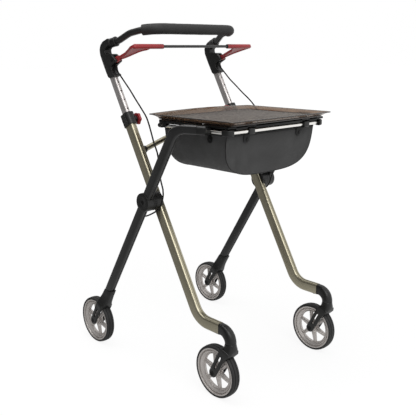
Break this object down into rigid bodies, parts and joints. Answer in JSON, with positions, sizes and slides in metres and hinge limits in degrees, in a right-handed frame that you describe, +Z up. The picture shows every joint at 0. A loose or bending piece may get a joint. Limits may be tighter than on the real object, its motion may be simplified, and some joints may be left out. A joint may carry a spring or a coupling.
{
  "type": "rollator",
  "caption": "Indoor rollator with crossing side frames, swivel front casters, height-adjustable handle, one-hand brake bar, serving tray and fabric basket.",
  "frame": {"origin": "middle of the footprint on the floor: midway between the wheels' front and rear limits, on the plane of symmetry", "axes": "+Z up, -Y the front that the user walks towards, -X the user's right side"},
  "size_m": [0.5468, 0.673, 1.003],
  "materials": {
    "champagne_aluminium": "satin anodised, light champagne",
    "silver_aluminium": "satin anodised, silver",
    "black_powder_coat": "semi-gloss black",
    "black_plastic": "moulded black plastic",
    "black_foam": "closed-cell foam",
    "red_plastic": "red plastic",
    "chromed_steel": "bright chrome",
    "rim_grey_plastic": "warm light grey plastic",
    "tyre_rubber": "solid soft tyre",
    "basket_fabric": "woven dark grey fabric",
    "smoked_tray": "smoked brown clear plastic",
    "tray_mat": "pebbled grey non-slip mat",
    "zinc_steel": "zinc plated"
  },
  "bodies": {
    "side_frames": {"side_tube_r": "champagne_aluminium", "side_tube_l": "champagne_aluminium", "crossbar": "champagne_aluminium", "clamp_collar_r": "black_plastic", "clamp_collar_l": "black_plastic", "caster_elbow_r": "black_plastic", "caster_elbow_l": "black_plastic", "hub_saddle_r": "black_plastic", "hub_saddle_l": "black_plastic", "brake_cable_lower_r": "black_plastic", "brake_cable_lower_l": "black_plastic"},
    "rear_frame": {"rear_leg_r": "black_powder_coat", "rear_leg_l": "black_powder_coat", "hub_cap_r": "black_plastic", "hub_cap_l": "black_plastic", "rear_fork_r": "black_plastic", "rear_fork_l": "black_plastic", "axle_rear_r": "zinc_steel", "axle_rear_l": "zinc_steel", "side_rail_r": "chromed_steel", "side_rail_l": "chromed_steel", "rail_corner_r": "black_plastic", "rail_corner_l": "black_plastic", "rail_bracket_r": "black_plastic", "rail_bracket_l": "black_plastic", "basket_clip_r": "black_plastic", "basket_clip_l": "black_plastic", "front_rail": "chromed_steel", "basket": "basket_fabric", "basket_rear": "basket_fabric"},
    "tray": {"tray": "smoked_tray", "tray_mat": "tray_mat"},
    "handle": {"silver_tube_r": "silver_aluminium", "silver_tube_l": "silver_aluminium", "handle_head_r": "black_plastic", "handle_head_l": "black_plastic", "brake_cable_upper_r": "black_plastic", "brake_cable_upper_l": "black_plastic", "handle_bar": "black_powder_coat", "foam_grip": "black_foam"},
    "brake_bar": {"brake_lever_r": "red_plastic", "brake_lever_l": "red_plastic", "brake_rod": "black_powder_coat"},
    "brake_shoe_r": {"brake_shoe_r": "black_plastic"},
    "clamp_knob_r": {"clamp_knob_r": "red_plastic"},
    "caster_r": {"caster_fork_r": "black_plastic", "axle_front_r": "zinc_steel"},
    "wheel_front_r": {"rim_front_r": "rim_grey_plastic", "tyre_front_r": "tyre_rubber"},
    "wheel_rear_r": {"rim_rear_r": "rim_grey_plastic", "tyre_rear_r": "tyre_rubber"},
    "brake_shoe_l": {"brake_shoe_l": "black_plastic"},
    "clamp_knob_l": {"clamp_knob_l": "red_plastic"},
    "caster_l": {"caster_fork_l": "black_plastic", "axle_front_l": "zinc_steel"},
    "wheel_front_l": {"rim_front_l": "rim_grey_plastic", "tyre_front_l": "tyre_rubber"},
    "wheel_rear_l": {"rim_rear_l": "rim_grey_plastic", "tyre_rear_l": "tyre_rubber"}
  },
  "joints": [
    {"name": "fold", "type": "hinge", "parent": "side_frames", "child": "rear_frame", "pos_m": [0, -0.0136, 0.5145], "axis": [-1, 0, 0], "range_deg": [0, 30], "deforming": ["brake_cable_lower_r", "brake_cable_lower_l", "basket_rear"]},
    {"name": "tray_slide", "type": "slide", "parent": "rear_frame", "child": "tray", "axis": [0, -1, 0], "range_m": [0, 0.1]},
    {"name": "handle_height", "type": "slide", "parent": "side_frames", "child": "handle", "axis": [0, 0.492, 0.8706], "range_m": [-0.08, 0.03], "deforming": ["brake_cable_upper_r", "brake_cable_upper_l"]},
    {"name": "brake_squeeze", "type": "hinge", "parent": "handle", "child": "brake_bar", "pos_m": [0, 0.1655, 0.9005], "axis": [-1, 0, 0], "range_deg": [0, 10], "stiffness_Nm_per_rad": 4, "springref_deg": -8.59},
    {"name": "brake_shoe_r_press", "type": "slide", "parent": "rear_frame", "child": "brake_shoe_r", "axis": [0, 0.533, -0.8461], "range_m": [0, 0.0025]},
    {"name": "clamp_knob_r_turn", "type": "hinge", "parent": "side_frames", "child": "clamp_knob_r", "pos_m": [-0.184, 0.1035, 0.7345], "axis": [1, 0, 0], "range_deg": [-720, 0]},
    {"name": "caster_r_swivel", "type": "hinge", "parent": "side_frames", "child": "caster_r", "pos_m": [-0.2095, -0.3115, 0.187], "axis": [0, 0, 1], "continuous": true},
    {"name": "wheel_front_r_spin", "type": "hinge", "parent": "caster_r", "child": "wheel_front_r", "pos_m": [-0.2104, -0.2615, 0.075], "axis": [-1, 0, 0], "continuous": true},
    {"name": "wheel_rear_r_spin", "type": "hinge", "parent": "rear_frame", "child": "wheel_rear_r", "pos_m": [-0.2524, 0.2615, 0.075], "axis": [-1, 0, 0], "continuous": true},
    {"name": "brake_shoe_l_press", "type": "slide", "parent": "rear_frame", "child": "brake_shoe_l", "axis": [0, 0.533, -0.8461], "range_m": [0, 0.0025]},
    {"name": "clamp_knob_l_turn", "type": "hinge", "parent": "side_frames", "child": "clamp_knob_l", "pos_m": [0.184, 0.1035, 0.7345], "axis": [-1, 0, 0], "range_deg": [-720, 0]},
    {"name": "caster_l_swivel", "type": "hinge", "parent": "side_frames", "child": "caster_l", "pos_m": [0.2095, -0.3115, 0.187], "axis": [0, 0, 1], "continuous": true},
    {"name": "wheel_front_l_spin", "type": "hinge", "parent": "caster_l", "child": "wheel_front_l", "pos_m": [0.2104, -0.2615, 0.075], "axis": [-1, 0, 0], "continuous": true},
    {"name": "wheel_rear_l_spin", "type": "hinge", "parent": "rear_frame", "child": "wheel_rear_l", "pos_m": [0.2524, 0.2615, 0.075], "axis": [-1, 0, 0], "continuous": true}
  ],
  "couplings": [
    {"joint": "tray_slide", "follows": "fold", "m_per_rad": 0.157},
    {"joint": "brake_shoe_r_press", "follows": "brake_squeeze", "m_per_rad": 0.01431},
    {"joint": "brake_shoe_l_press", "follows": "brake_squeeze", "m_per_rad": 0.01431}
  ]
}
